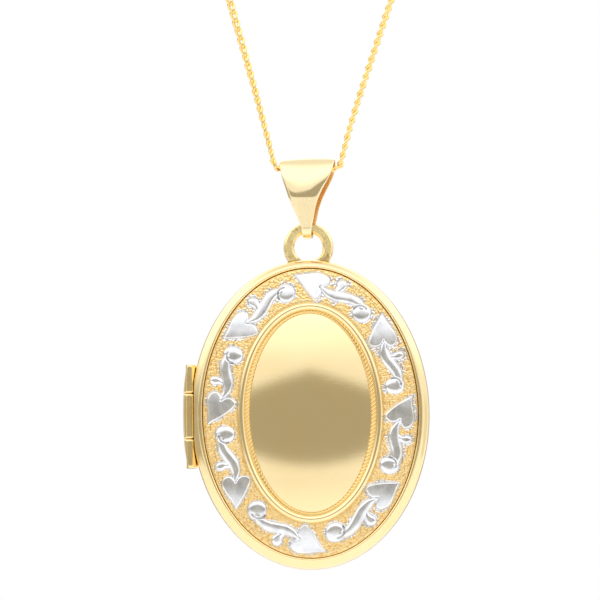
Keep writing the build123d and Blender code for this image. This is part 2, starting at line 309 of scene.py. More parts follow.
class Shader:
    """A material's nodes, with coordinates in millimetres."""

    def __init__(self, name):
        self.material = bpy.data.materials.new(name)
        self.material.use_nodes = True
        self.tree = self.material.node_tree
        self.surface = self.tree.nodes["Principled BSDF"]
        self.place = self.add("TexCoord").outputs["Object"]

    def add(self, kind, settings=None, **inputs):
        node = self.tree.nodes.new("ShaderNode" + kind)
        for key, value in (settings or {}).items():
            setattr(node, key, value)
        for key, value in inputs.items():
            self.give(node.inputs[key.replace("_", " ")], value)
        return node

    def give(self, socket, value):
        if isinstance(value, bpy.types.NodeSocket):
            self.tree.links.new(value, socket)
        else:
            socket.default_value = value

    def made(self, **inputs):
        """The material, with its surface's inputs given."""
        for key, value in inputs.items():
            self.give(self.surface.inputs[key.replace("_", " ")], value)
        return self.material

    def noise(self, scale, detail=3.0, rough=0.5, each_way=(1, 1, 1)):
        """Noise with this many blobs to a millimetre, times each_way along X, Y and Z."""
        per_metre = [scale * way / MM for way in each_way]
        where = self.add("Mapping", Vector=self.place, Scale=per_metre).outputs["Vector"]
        node = self.add("TexNoise", Vector=where, Scale=1.0, Detail=detail, Roughness=rough)
        return node.outputs["Fac"]

    def ramp(self, value, low, high, to_low=0.0, to_high=1.0):
        return self.add(
            "MapRange", Value=value, From_Min=low, From_Max=high, To_Min=to_low, To_Max=to_high
        ).outputs["Result"]

    def attribute(self, name):
        return self.add("Attribute", {"attribute_name": name}).outputs["Fac"]

    def mix(self, factor, a, b):
        node = self.add("Mix", {"data_type": "RGBA"})
        for socket, value in ((0, factor), (6, a), (7, b)):
            self.give(node.inputs[socket], value)
        return node.outputs[2]

    def reckon(self, how, a, b):
        node = self.add("Math", {"operation": how})
        self.give(node.inputs[0], a)
        self.give(node.inputs[1], b)
        return node.outputs[0]

    def plus(self, a, b):
        return self.reckon("ADD", a, b)

    def times(self, a, b):
        return self.reckon("MULTIPLY", a, b)

    def bump(self, height, depth, under=None):
        """Bumps of this depth in millimetres, over those of another bump."""
        node = self.add("Bump", Height=height, Strength=1.0, Distance=depth * MM)
        if under is not None:
            self.give(node.inputs["Normal"], under)
        return node.outputs["Normal"]


def gold(name, light=GOLD, dark=WARM_GOLD, rough=(0.07, 0.16), scratch=0.0006, grain=(1, 1, 9)):
    """Polished gold with a slight change of colour, and hairlines along one direction."""
    s = Shader(name)
    tone = s.ramp(s.noise(0.35, 4), 0.35, 0.75)
    hairs = s.noise(5.0, 5, 0.65, grain)
    return s.made(
        Metallic=1.0,
        Base_Color=s.mix(s.times(tone, 0.35), light, dark),
        Roughness=s.ramp(s.noise(1.3, 5, 0.6), 0.3, 0.7, *rough),
        Normal=s.bump(hairs, scratch),
    )


def plaque_gold():
    """The plain middle: mirror gold with very fine scratches, mostly across."""
    s = Shader("plaque_gold")
    channel = s.attribute("channel")
    across = s.noise(3.0, 6, 0.7, (0.25, 1, 9))
    fine = s.noise(9.0, 4, 0.6, (0.2, 1, 7))
    scratches = s.bump(s.plus(across, fine), 0.0007)
    grain = s.bump(s.noise(7.0, 3), 0.0012, scratches)
    # The channel's deeper orange gold is painted light bounced between its gold walls
    tone = s.mix(channel, GOLD, CHANNEL_BOUNCE_GOLD)
    return s.made(
        Metallic=1.0,
        Base_Color=s.mix(s.ramp(s.noise(0.25, 4), 0.35, 0.8, 0, 0.25), tone, WARM_GOLD),
        Roughness=s.ramp(across, 0.35, 0.7, 0.06, 0.11),
        Normal=grain,
    )


def engraved_metal():
    """The struck border: white rhodium over the raised pattern, on a beaded gold ground, with
    painted shade in its hollows.
    """
    s = Shader("engraved_border")
    rhodium = s.attribute("rhodium")
    painted_shade = s.attribute("painted_shade")
    blotches = s.noise(4.5, 4, 0.6)
    grain = s.ramp(rhodium, 0, 1, 1.0, 0.15)
    ground = s.mix(s.ramp(s.noise(2.8, 4), 0.35, 0.7), GROUND_LIGHT, GROUND_WARM)
    plating = s.mix(s.ramp(s.noise(0.9, 3), 0.45, 0.68), SILVER, DULL_SILVER)
    metal = s.mix(rhodium, ground, plating)
    # Painted shade: orange brown on the gold ground, dark grey on the rhodium
    shade_colour = s.mix(rhodium, GROUND_PAINTED_SHADE, SILVER_PAINTED_SHADE)
    return s.made(
        Metallic=1.0,
        Base_Color=s.mix(s.times(painted_shade, 0.85), metal, shade_colour),
        Roughness=s.plus(s.ramp(blotches, 0.3, 0.7, 0.0, 0.10), s.ramp(rhodium, 0, 1, 0.25, 0.12)),
        Normal=s.bump(s.times(s.noise(9.0, 3, 0.6), grain), 0.0016),
    )


def bail_metal():
    """The bail: polished outside, and inside a rougher, less metallic deep orange gold, painted in
    as the light bounced between its leaves.
    """
    s = Shader("bail_gold")
    inner = s.attribute("inner")
    outside = s.mix(s.ramp(s.noise(0.35, 4), 0.35, 0.75, 0, 0.35), BAIL_LIGHT, BAIL_WARM)
    polish = s.ramp(s.noise(1.3, 5, 0.6), 0.3, 0.7, 0.06, 0.11)
    return s.made(
        Metallic=s.ramp(inner, 0, 1, 1.0, 0.45),
        Base_Color=s.mix(inner, outside, BAIL_PAINTED_BOUNCE),
        Roughness=s.plus(polish, s.times(inner, 0.3)),
        Normal=s.bump(s.noise(5.0, 5, 0.65, (1, 1, 9)), 0.0004),
    )


def brushed_gold():
    """The loop: filed by hand and half polished, with dark brown patches that are most of all low
    on its sides.
    """
    s = Shader("brushed_gold")
    strokes = s.noise(3.2, 6, 0.75, (1.6, 1, 0.8))
    height = s.add("SeparateXYZ", Vector=s.place).outputs["Z"]
    middle = (nodes["top_loop"].matrix_world.inverted() @ Vector((0, 0, loop_z * MM))).z
    low = s.ramp(height, middle - 0.4 * MM, middle - 1.9 * MM)
    patches = s.ramp(s.plus(s.noise(0.8, 3), s.times(low, 0.26)), 0.58, 0.68)
    # Dark brown patches, darker towards the bottom of the loop
    blotches = s.times(patches, s.ramp(strokes, 0.38, 0.62, 0.35, 1.0))
    return s.made(
        Metallic=1.0,
        Base_Color=s.mix(blotches, LOOP_GOLD, LOOP_DARK_PATCH),
        Roughness=s.ramp(strokes, 0.3, 0.7, 0.20, 0.36),
        Normal=s.bump(strokes, 0.010),
    )


def spring_steel():
    s = Shader("spring_steel")
    drawn = s.noise(6.0, 4, 0.6, (1, 6, 1))
    return s.made(
        Metallic=1.0,
        Base_Color=s.mix(s.noise(1.5, 3), STEEL_DARK, STEEL_LIGHT),
        Roughness=s.ramp(drawn, 0.3, 0.7, 0.22, 0.36),
        Normal=s.bump(drawn, 0.001),
    )


def clear_sheet():
    """The soft clear disc over each photo: faintly rubbed."""
    s = Shader("clear_acetate")
    rubbed = s.noise(1.8, 6, 0.7)
    return s.made(
        Base_Color=(0.97, 0.98, 0.98, 1),
        IOR=1.48,
        Alpha=s.ramp(rubbed, 0.4, 0.75, 0.05, 0.09),
        Roughness=s.ramp(rubbed, 0.4, 0.75, 0.10, 0.22),
        Normal=s.bump(rubbed, 0.0001),
    )


def ivory_card():
    """The blank card behind the clear disc, with a paper's fibres."""
    s = Shader("photo_card")
    fibres = s.noise(6.0, 6, 0.7, (1, 1, 2.5))
    cloud = s.ramp(s.noise(0.4, 4, 0.6), 0.35, 0.7)
    return s.made(
        Base_Color=s.mix(cloud, IVORY_DARK, IVORY_LIGHT),
        Roughness=s.ramp(fibres, 0.3, 0.7, 0.62, 0.85),
        Normal=s.bump(fibres, 0.004),
    )


polished = gold("polished_gold")
bail_gold = bail_metal()
hinge_gold = gold(
    "hinge_gold", HINGE_LIGHT, HINGE_WARM, rough=(0.10, 0.18), scratch=0.0012, grain=(9, 9, 1)
)
chain_gold = gold("chain_gold", CHAIN_LIGHT, CHAIN_WARM, rough=(0.10, 0.2), scratch=0.0008)
plaque_metal = plaque_gold()
engraved = engraved_metal()
brushed = brushed_gold()
steel = spring_steel()
acetate = clear_sheet()
card = ivory_card()


# --- Chain ---

CHAIN_ROUTE = (
    (-8.72, 20.6), (-5.66, 9.2), (-4.52, 4.6), (-3.70, 1.25), (-3.35, 0.0), (-2.50, 0.0),
    (0.0, 0.0), (2.50, 0.0), (3.35, 0.0), (3.72, 1.25), (4.62, 4.6), (6.10, 9.2), (10.00, 20.6),
)
LINK_PITCH = 0.96
LINK_WIRE_R = 0.155
LINK_HALF_LENGTH = 0.60
LINK_HALF_WIDTH = 0.29
LINK_TWIST = 0.14  # how far the link's sides stand out of its plane
# How the links lie: share of the chain's length, and degrees turned from flat to edge-on.
LINK_TURNS = ((0, 25), (0.36, 80), (0.5, 90), (0.64, 80), (1, 62))
LINK_SWAY = 5  # degrees by which single links lie out of that
SWAY_STEP = 2.3  # radians of the sway's wave per link
LOOK_AHEAD = 0.1


def chain_line():
    """Points along the chain's smooth line, and how far along it each one is."""
    data = bpy.data.curves.new("chain_line", "CURVE")
    data.dimensions = "3D"
    data.resolution_u = 40
    line = data.splines.new("NURBS")
    line.points.add(len(CHAIN_ROUTE) - 1)
    for point, (x, z) in zip(line.points, CHAIN_ROUTE):
        point.co = (x * MM, 0, z * MM, 1)
    line.order_u = 3
    line.use_endpoint_u = True
    curve = bpy.data.objects.new("chain_line", data)
    bpy.context.scene.collection.objects.link(curve)
    bpy.context.view_layer.update()
    mesh = bpy.data.meshes.new_from_object(curve)
    points = np.array([vertex.co for vertex in mesh.vertices]) / MM
    bpy.data.meshes.remove(mesh)
    bpy.data.objects.remove(curve)
    if points[0, 0] > points[-1, 0]:
        points = points[::-1]
    steps = np.linalg.norm(np.diff(points, axis=0), axis=1)
    return points, np.concatenate([[0], np.cumsum(steps)])


def link_points(columns=32, around=10):
    """One curb link about the origin: an oval ring of wire, twisted along X."""
    angle = np.linspace(0, TURN, columns, endpoint=False)
    middle = np.stack(
        [LINK_HALF_LENGTH * np.cos(angle), LINK_HALF_WIDTH * np.sin(angle),
         LINK_TWIST * np.sin(2 * angle)], -1
    )
    along = np.roll(middle, -1, 0) - np.roll(middle, 1, 0)
    along /= np.linalg.norm(along, axis=1)[:, None]
    across = np.cross(along, [0, 0, 1.0])
    across /= np.linalg.norm(across, axis=1)[:, None]
    out = np.cross(along, across)
    wire = np.linspace(0, TURN, around, endpoint=False)
    ring = [middle + LINK_WIRE_R * (math.cos(w) * across + math.sin(w) * out) for w in wire]
    return np.stack(ring, 0).reshape(-1, 3), grid_faces(around, columns)


def point_along(line, run, distance):
    return np.array([np.interp(distance, run, line[:, axis]) for axis in range(3)])


def make_chain():
    """Every link of the chain as one piece, evenly spaced along its line."""
    line, run = chain_line()
    length = run[-1]
    count = round(length / LINK_PITCH)
    shares, turns = zip(*LINK_TURNS)
    backward = np.array([0, 1.0, 0])
    link, link_faces = link_points()
    points, faces = [], []
    for i in range(count):
        middle = (i + 0.5) / count * length
        here = point_along(line, run, middle)
        along = point_along(line, run, middle + LOOK_AHEAD) - here
        along /= np.linalg.norm(along)
        turn = np.interp(middle / length, shares, turns) + LINK_SWAY * math.sin(SWAY_STEP * i)
        turn = math.radians(turn)
        wide = math.cos(turn) * np.cross(backward, along) + math.sin(turn) * backward
        thin = np.cross(along, wide)
        points.append(link @ np.array([along, wide, thin]) + here)
        faces += [[k + i * len(link) for k in face] for face in link_faces]
    chain = make_mesh("chain_links", np.concatenate(points), faces, chain_gold)
    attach(chain, "chain")
    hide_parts("chain")


# --- Rims ---

RIM_COLUMNS = 720
RIM_MOUTH = 1.19  # how far in the rim's face ends, at the groove
RIM_FACE = 1.25  # only the section's face is narrower at the top and bottom
RIM_NARROWING = 0.17 / RIM_MOUTH
HINGE_FLAT_X = -half_width + 0.32
HINGE_SEAT_R = 0.93
HINGE_SEAT_REACH = (pin_high[2] - pin_low[2]) / 2 + 0.22  # up and down from its middle


def rim_profile():
    """The rim's section as (inset, depth), from the meeting face over the crown and back."""
    outside = spline(
        ((0.10, meeting_gap), (0.02, 0.22), (0.0, 0.50), (0.02, 0.85), (0.09, 1.16), (0.23, 1.45),
         (0.43, 1.69), (0.68, 1.87), (0.93, crown_depth), (1.08, 1.93), (1.15, 1.82)), 5
    )
    mouth = [(1.17, 1.70), (1.185, 1.60), (RIM_MOUTH, 1.45), (RIM_MOUTH, 1.30)]
    inside = [(1.30, 1.29), (1.5, 1.28), (1.72, 1.27), (1.75, 1.24), (1.75, 0.7), (1.75, 0.08)]
    meeting = [(inset, meeting_gap) for inset in (1.70, 1.45, 1.2, 0.95, 0.7, 0.45, 0.25)]
    return [*outside, *mouth, *inside, *meeting]


def make_rim(name, side, node):
    """One rim, with a flat and a round seat beside the hinge."""
    profile = []
    for inset, depth in rim_profile():
        narrower = RIM_NARROWING if inset < RIM_FACE else 0
        profile.append((half_width - inset, half_height - inset * (1 - narrower), depth))
    rim = swept_oval(name, profile, side, RIM_COLUMNS, polished)
    points = points_of(rim)
    left = (np.abs(points[:, 2] - hinge_z) < HINGE_SEAT_REACH) & (points[:, 0] < 0)
    points[left, 0] = np.maximum(points[left, 0], HINGE_FLAT_X)
    from_axis = points[:, :2] - [hinge_x, 0]
    gap = np.linalg.norm(from_axis, axis=1)
    near = left & (gap < HINGE_SEAT_R)
    points[near, :2] = [hinge_x, 0] + from_axis[near] / gap[near, None] * HINGE_SEAT_R
    move_points(rim, points)
    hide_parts(node)
    return rim


# --- Hinge knuckles ---

KNUCKLE_R = 0.83
KNUCKLE_ENDS = 0.05  # how far each one reaches past its solid, to close the gap
KNUCKLE_OUTLINE = grown((half_width, half_height), 1.03)
KNUCKLE_BEVEL = ((0.0, 0.16), (0.03, 0.07), (0.09, 0.015), (0.2, 0.0))  # (from its end, cut)
KNUCKLE_PLAIN = 0.4  # how far from its ends the plain tube begins
KNUCKLE_COLUMNS = 48


def soft_least(lengths, limit):
    """The lesser of each length and a limit, blended where the two are close."""
    return (np.maximum(lengths, 1e-3) ** -3.0 + max(limit, 0.1) ** -3.0) ** (-1 / 3)


def make_knuckle(name, node, body):
    """One tube of the hinge, its ends bevelled and its outside filed to the locket's oval."""
    low, high = (corner[2] for corner in corners(node))
    low, high = low - KNUCKLE_ENDS, high + KNUCKLE_ENDS
    heights = [(low + rise, cut) for rise, cut in KNUCKLE_BEVEL]
    heights += [(z, 0.0) for z in np.linspace(low + KNUCKLE_PLAIN, high - KNUCKLE_PLAIN, 9)]
    heights += [(high - rise, cut) for rise, cut in KNUCKLE_BEVEL[::-1]]
    turn = np.linspace(0, TURN, KNUCKLE_COLUMNS, endpoint=False)
    rows = []
    for z, cut in heights:
        up = (z - body_z) / KNUCKLE_OUTLINE[1]
        reach = hinge_x + KNUCKLE_OUTLINE[0] * math.sqrt(1 - up**2) - cut
        left, back = (KNUCKLE_R - cut) * np.cos(turn), (KNUCKLE_R - cut) * np.sin(turn)
        x = hinge_x - np.where(left > 0, soft_least(left, reach), left)
        rows.append(np.stack([x, back, np.full(KNUCKLE_COLUMNS, z)], -1))
    ends = [[hinge_x, 0, low], [hinge_x, 0, high]]
    points = np.concatenate([*rows, ends])
    last_row = (len(rows) - 1) * KNUCKLE_COLUMNS
    faces = grid_faces(len(rows), KNUCKLE_COLUMNS, wrap_rows=False)
    faces += cap_faces(0, last_row, KNUCKLE_COLUMNS, len(points) - 2, len(points) - 1)
    knuckle = make_mesh(name, points, faces, hinge_gold)
    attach(knuckle, body)
    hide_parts(node)


# --- The border's struck pattern ---

BORDER_COLUMNS = 1440
BORDER_ROWS = 58
BORDER_EDGE = grown(cover_edge, -0.02)
MIDDLE = ((cover_edge[0] + RING_OUTER[0]) / 2, (cover_edge[1] + RING_OUTER[1]) / 2)
BORDER_LENGTH = even_oval(MIDDLE, 8)[1]
HEART_PLACES = (0.9, 51.3, 89.5, 127.7, 181.4, 232.8, 271.8, 310.3)  # clockwise from the top
HEART_BACK = 1.6  # how far behind a heart's middle its repeat of the pattern begins
HEART_FRONT = 1.7  # how far before it the heart ends, and the stem may be stretched
PLAIN_REACH = 7.45  # how far before it the repeat ends, when it isn't stretched

# Each outline is in millimetres: along the border from the heart's middle, and outwards.
HEART_OUTER = ((-1.45, 1.30), (-0.65, 1.27), (0.25, 1.38), (1.10, 1.40), (1.72, 1.02),
               (1.86, 0.44), (1.50, 0.06), (0.98, -0.04))
HEART_INNER = ((0.98, -0.04), (1.28, -0.48), (1.32, -1.00), (1.00, -1.50), (0.50, -1.62),
               (-0.08, -1.18), (-0.80, -0.18), (-1.45, 1.30))
HEART_HEIGHT = 0.20
HEART_BEVEL = 0.15
HEART_DOME = 0.055
HEART_DOME_MIDDLE = 0.2
HEART_DOME_R = 1.9
HEART_LEAN = 0.045  # how much lower the heart's top gets with each millimetre outwards
STEM = ((1.08, 0.00), (1.45, -0.26), (2.05, -0.50), (2.90, -0.52), (3.70, -0.27), (4.50, 0.04),
        (5.20, 0.18), (5.85, 0.12))
STEM_WIDTH = (0.14, 0.54, 0.94, 1.14, 1.14, 1.08, 0.94, 0.80)
STEM_HEIGHT = 0.24
DISC = (6.30, -0.35)
DISC_R = 0.97
DISC_HEIGHT = 0.22
SLIT_TURNS = (74, 205)  # degrees round the disc, where its curling slit ends and begins
SLIT_RADII = (0.64, 0.97)
SLIT_FADE = 12  # degrees
SLIT_WIDTH = 0.085
SLIT_DEPTH = 0.17
LEAF = ((2.62, -0.20), (2.72, 0.35), (2.62, 0.86), (2.82, 1.30), (3.22, 1.34), (3.50, 0.92),
        (3.42, 0.38), (3.08, -0.12))
LEAF_HEIGHT = 0.17
LEAF_BEVEL = 0.30

BEAD_PITCH = 0.27
BEAD_HEIGHT = 0.038
BEAD_ROWS = 40
BEAD_SEED = 5
SPILL_LEAST = 0.08  # how far the rhodium reaches past the pattern everywhere
SPILL_MOST = (0.14, 0.42)  # and further in places, at the lower left and the upper right
SPILL_PITCH = 0.8
SPILL_SEED = 11
SPILL_FADE = 0.07
GROUND_GAP = 0.05  # how far outside the pattern the punch marks begin
GROUND_FADE = 0.12
FOOT_GAP = 0.03  # how far outside the pattern its outline of painted shade is
FOOT_WIDTH = 0.04
PAINTED_SHADE_MOST = 0.7  # how dark the painted shade in that outline and in the pits between marks is
SIDE_FADE = 0.06  # share of the border's width where the relief dies out at each side


def flat_oval(oval, t):
    return np.stack([oval[0] * np.sin(t), oval[1] * np.cos(t)], -1)


def nearest(points, line):
    """Distance from each point to a row of points, and how far along it (0 to 1) that is."""
    best = np.full(len(points), 1e9)
    along = np.zeros(len(points))
    for i, (start, end) in enumerate(zip(line[:-1], line[1:])):
        run = end - start
        if not run.any():
            continue
        t = np.clip((points - start) @ run / (run @ run), 0, 1)
        gap = np.hypot(*(points - start - t[:, None] * run).T)
        closer = gap < best
        best[closer] = gap[closer]
        along[closer] = (i + t[closer]) / (len(line) - 1)
    return best, along


def inside(points, outline):
    """Which points lie inside a closed outline."""
    within = np.zeros(len(points), bool)
    for (x0, y0), (x1, y1) in zip(outline, np.roll(outline, -1, 0)):
        if y0 == y1:
            continue
        crosses = (points[:, 1] > y0) != (points[:, 1] > y1)
        at = x0 + (points[:, 1] - y0) / (y1 - y0) * (x1 - x0)
        within ^= crosses & (points[:, 0] < at)
    return within


def signed(points, outline):
    """How far inside a closed outline each point is; less than nothing outside."""
    gap, _ = nearest(points, np.concatenate([outline, outline[:1]]))
    return np.where(inside(points, outline), gap, -gap)


def pillow(depth_in, bevel, height):
    """A flat top with a rounded edge."""
    x = np.clip(depth_in / bevel, 0, 1)
    return height * np.sqrt(1 - (1 - x) ** 2)


# Each relief below gives how far inside its shape the points are, and its height there.

def heart_relief(points):
    heart = np.concatenate([spline(HEART_OUTER, 6)[:-1], spline(HEART_INNER, 6)[:-1]])
    within = signed(points, heart)
    from_middle = np.hypot(points[:, 0] - HEART_DOME_MIDDLE, points[:, 1])
    top = HEART_DOME * (1 - (from_middle / HEART_DOME_R) ** 2) - HEART_LEAN * points[:, 1]
    height = pillow(within, HEART_BEVEL, HEART_HEIGHT) + top * smooth_step(within / HEART_BEVEL)
    return within, height


def stem_relief(points):
    gap, along = nearest(points, spline(STEM, 8))
    half = np.interp(along, np.linspace(0, 1, len(STEM_WIDTH)), STEM_WIDTH) / 2
    round_top = np.sqrt(1 - np.clip(gap / half, 0, 1) ** 3)
    return half - gap, np.where(half > gap, STEM_HEIGHT * round_top, 0)


def disc_relief(reach):
    """The volute that ends the stem, by distance from its middle."""
    round_top = np.sqrt(1 - np.clip(reach / DISC_R, 0, 1) ** 3)
    return DISC_R - reach, np.where(reach < DISC_R, DISC_HEIGHT * round_top, 0)


def leaf_relief(points):
    within = signed(points, spline(LEAF, 6, closed=True))
    return within, pillow(within, LEAF_BEVEL, LEAF_HEIGHT)


def slit_in_disc(off, reach):
    """The curling slit that makes the disc a volute, from 0 to 1."""
    turn = np.degrees(np.arctan2(off[:, 1], off[:, 0])) % 360
    low, high = SLIT_TURNS
    curl = np.interp(turn, (low, high), SLIT_RADII)
    slit = np.exp(-(((reach - curl) / SLIT_WIDTH) ** 2))
    return slit * smooth_step((turn - low) / SLIT_FADE) * smooth_step((high - turn) / SLIT_FADE)


def motif(points):
    """Height of one heart, stem, volute and leaf; how far inside them; and the volute's slit."""
    off = points - DISC
    reach = np.hypot(*off.T)
    reliefs = (heart_relief(points), stem_relief(points), disc_relief(reach), leaf_relief(points))
    within, heights = zip(*reliefs)
    slit = slit_in_disc(off, reach)
    return np.max(heights, axis=0) - SLIT_DEPTH * slit, np.max(within, axis=0), slit


def soft_noise(u, v, pitch, seed):
    """Smooth noise from 0 to 1 over the border, which joins up with itself."""
    rng = np.random.default_rng(seed)
    across, down = round(BORDER_LENGTH / pitch), 24
    values = rng.random((across, down))
    x = (u % BORDER_LENGTH) / BORDER_LENGTH * across
    y = (v / pitch + down / 3) % down
    x0, y0 = np.floor(x).astype(int) % across, np.floor(y).astype(int) % down
    x1, y1 = (x0 + 1) % across, (y0 + 1) % down
    share_x, share_y = smooth_step(x - np.floor(x)), smooth_step(y - np.floor(y))
    low = values[x0, y0] * (1 - share_x) + values[x1, y0] * share_x
    high = values[x0, y1] * (1 - share_x) + values[x1, y1] * share_x
    return low * (1 - share_y) + high * share_y


def beads(u, v, seed):
    """A ground of small round punch marks, each a little out of place, from 0 to 1."""
    rng = np.random.default_rng(seed)
    across = round(BORDER_LENGTH / BEAD_PITCH)
    shift = rng.random((across, BEAD_ROWS, 2)) * 0.8 + 0.1
    size = 0.42 + 0.2 * rng.random((across, BEAD_ROWS))
    x, y = u / BORDER_LENGTH * across, v / BEAD_PITCH + BEAD_ROWS / 2
    cell_x, cell_y = np.floor(x).astype(int), np.floor(y).astype(int)
    best = np.full(len(u), 9.0)
    for dx in (-1, 0, 1):
        for dy in (-1, 0, 1):
            i, j = (cell_x + dx) % across, (cell_y + dy) % BEAD_ROWS
            gap = np.hypot(x - cell_x - dx - shift[i, j, 0], y - cell_y - dy - shift[i, j, 1])
            best = np.minimum(best, gap / size[i, j])
    return np.sqrt(np.clip(1 - best**2, 0, 1))


def border_places(t, share):
    """How far along the border each of its points is, and how far out from its middle."""
    tangent = np.stack([MIDDLE[0] * np.cos(t), -MIDDLE[1] * np.sin(t)], -1)
    tangent /= np.linalg.norm(tangent, axis=1)[:, None]
    normal = np.stack([-tangent[:, 1], tangent[:, 0]], -1)
    inner, outer = flat_oval(RING_OUTER, t), flat_oval(BORDER_EDGE, t)
    off = inner[None] + share[:, None, None] * (outer - inner)[None] - flat_oval(MIDDLE, t)[None]
    run = np.arange(len(t)) / len(t) * BORDER_LENGTH
    return (run[None] + (off * tangent[None]).sum(-1)).ravel(), (off * normal[None]).sum(-1).ravel()


def pattern(u, v):
    """The motif at its eight places, each stretched to reach the next heart."""
    hearts = np.interp(np.radians(HEART_PLACES), *oval_run(MIDDLE, 4001))
    height = np.zeros(len(u))
    within = np.full(len(u), -9.0)
    slit = np.zeros(len(u))
    for i, start in enumerate(hearts):
        span = (hearts[(i + 1) % len(hearts)] - start) % BORDER_LENGTH
        local = (u - start + HEART_BACK) % BORDER_LENGTH - HEART_BACK
        ours = local < span - HEART_BACK
        stretch = (PLAIN_REACH - HEART_FRONT) / (span - HEART_BACK - HEART_FRONT)
        local = np.where(local > HEART_FRONT, HEART_FRONT + (local - HEART_FRONT) * stretch, local)
        height[ours], within[ours], slit[ours] = motif(np.stack([local[ours], v[ours]], -1))
    return height, within, slit


def border_fields(t, share):
    """Height, rhodium and painted shade over the border, by place round it and share across."""
    u, v = border_places(t, share)
    height, within, slit = pattern(u, v)
    ground = beads(u, v, BEAD_SEED)
    patch = soft_noise(u, v, SPILL_PITCH, SPILL_SEED)
    to_upper_right = np.sin(np.radians(45)) * np.tile(np.sin(t) + np.cos(t), len(share))
    most = np.interp(to_upper_right, (-1, 1), SPILL_MOST)
    spill = SPILL_LEAST + most * smooth_step(1.6 * patch - 0.3)
    flat = smooth_step((-within - GROUND_GAP) / GROUND_FADE)
    side = np.repeat(np.clip(np.minimum(share, 1 - share) / SIDE_FADE, 0, 1), len(t))
    height = height + BEAD_HEIGHT * ground * flat * side
    # Painted shade: a dark outline at the pattern's foot, the pits between punch marks and the
    # volute's slit
    foot = PAINTED_SHADE_MOST * np.exp(-(((within + FOOT_GAP) / FOOT_WIDTH) ** 2))
    pits = flat * (1 - np.clip(2.6 * ground, 0, 1)) * PAINTED_SHADE_MOST
    rhodium = smooth_step((within + spill) / SPILL_FADE) * (1 - pits)
    painted_shade = np.clip(foot + pits + slit, 0, 1) * side
    return height * side, rhodium, painted_shade


def make_border():
    """The sheet from the groove to the raised ring, with its relief, as a closed ring."""
    t, _ = even_oval(MIDDLE, BORDER_COLUMNS)
    share = np.linspace(0, 1, BORDER_ROWS)
    relief, plated, shaded = (f.reshape(BORDER_ROWS, -1) for f in border_fields(t, share))
    every = np.ones(len(t))
    rows, rhodium, painted_shade = [], [], []

    # dark is how much painted shade a row gets
    def add_row(oval, depth, height=0.0, white=0.0, dark=0.6):
        row = oval_points(*oval, depth, t, -1)
        row[:, 1] -= height
        rows.append(row)
        rhodium.append(white * every)
        painted_shade.append(dark * every)

    # The wall under the raised ring's edge, with some painted shade
    for depth in (1.50, 1.70, 1.84):
        add_row(grown(RING_OUTER, -0.02), depth)
    for i, s in enumerate(share):
        depth = BORDER_DEPTH + s * (EDGE_DEPTH - BORDER_DEPTH)
        add_row(between(RING_OUTER, BORDER_EDGE, s), depth, relief[i], plated[i], shaded[i])
    # The groove's wall, in full painted shade
    for drop in (0.05, 0.15, 0.31):
        add_row(grown(BORDER_EDGE, 0.01), EDGE_DEPTH - drop, dark=1.0)
    # The sheet's underside, with some painted shade
    for s in (0.9, 0.6, 0.3):
        depth = BORDER_DEPTH + s * (EDGE_DEPTH - BORDER_DEPTH) - SHEET + 0.05 * s
        add_row(between(RING_OUTER, BORDER_EDGE, s), depth)
    faces = turned(grid_faces(len(rows), len(t)))
    border = make_mesh("front_border", np.concatenate(rows), faces, engraved)
    set_attribute(border, "rhodium", np.concatenate(rhodium))
    set_attribute(border, "painted_shade", np.concatenate(painted_shade))
    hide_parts("front_cover")
    return border


# --- Raised ring, rope channel and plaque ---

CENTRE_COLUMNS = 1152
CENTRE_INSIDE = (1.32, 0.9)  # its inner face's depth at the edge, and how far that one rises
ROPE_COUNT = 144
ROPE_HEIGHT = 0.05
ROPE_SLANT = 0.55  # the strands' slant from one row of points to the next


def make_centre():
    """The raised ring, the channel with its rope pattern, and the domed plaque."""
    profile = dome_rows(PLAQUE, PLAQUE_EDGE, plaque_apex, 26)
    channel = [0.0] * len(profile)

    # in_channel also sets how much painted bounce light, a deeper orange gold, a row takes
    def add(oval, depth, in_channel=0.0):
        profile.append((*oval, depth))
        channel.append(in_channel)

    add(grown(PLAQUE, -0.05), PLAQUE_EDGE + 0.012)
    add(PLAQUE, PLAQUE_EDGE - 0.02)
    add((PLAQUE[0] + 0.02, PLAQUE[1] + 0.01), CHANNEL_FLOOR + 0.03, 0.5)
    for share in np.linspace(0.06, 0.94, 8):
        round_up = 0.04 * math.sin(share * math.pi)
        add(between(PLAQUE, RING_INNER, share), CHANNEL_FLOOR + round_up, 1.0)
    add(between(PLAQUE, RING_INNER, 0.99), CHANNEL_FLOOR + 0.05, 0.7)
    add(between(RING_INNER, RING_OUTER, 0.02), BORDER_DEPTH + 0.06, 0.1)
    ring_foot = BORDER_DEPTH + 0.02
    for share in np.linspace(0.06, 0.97, 12):
        lift = (RING_CROWN - ring_foot) * math.sqrt(1 - (2 * share - 1) ** 2)
        add(between(RING_INNER, RING_OUTER, share), ring_foot + lift)
    add(grown(RING_OUTER, 0.03), BORDER_DEPTH - 0.04)
    add(grown(RING_OUTER, 0.03), 1.50)
    under = hollow_rows(PLAQUE, (0.95, 0.6, 0.3), *CENTRE_INSIDE)
    centre, t = dome_object("front_centre", profile + under, -1, CENTRE_COLUMNS, plaque_metal)
    # The first and last rows are single points, which the rope's rows leave out.
    channel = np.repeat(channel[1:] + [0.0] * (len(under) - 1), len(t))
    rows = len(channel) // len(t)
    turns = np.arange(len(t)) / len(t) * ROPE_COUNT * TURN
    slant = np.arange(rows)[:, None] * ROPE_SLANT
    wave = np.abs(np.sin((turns[None] + slant * TURN / 4) / 2)) ** 0.7
    points = points_of(centre)
    points[1:-1, 1] -= np.where(channel == 1.0, wave.ravel(), 0) * ROPE_HEIGHT
    move_points(centre, points)
    set_attribute(centre, "channel", np.concatenate([[0], channel, [0]]))
    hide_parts("front_cover")
    return centre


# --- Back cover ---

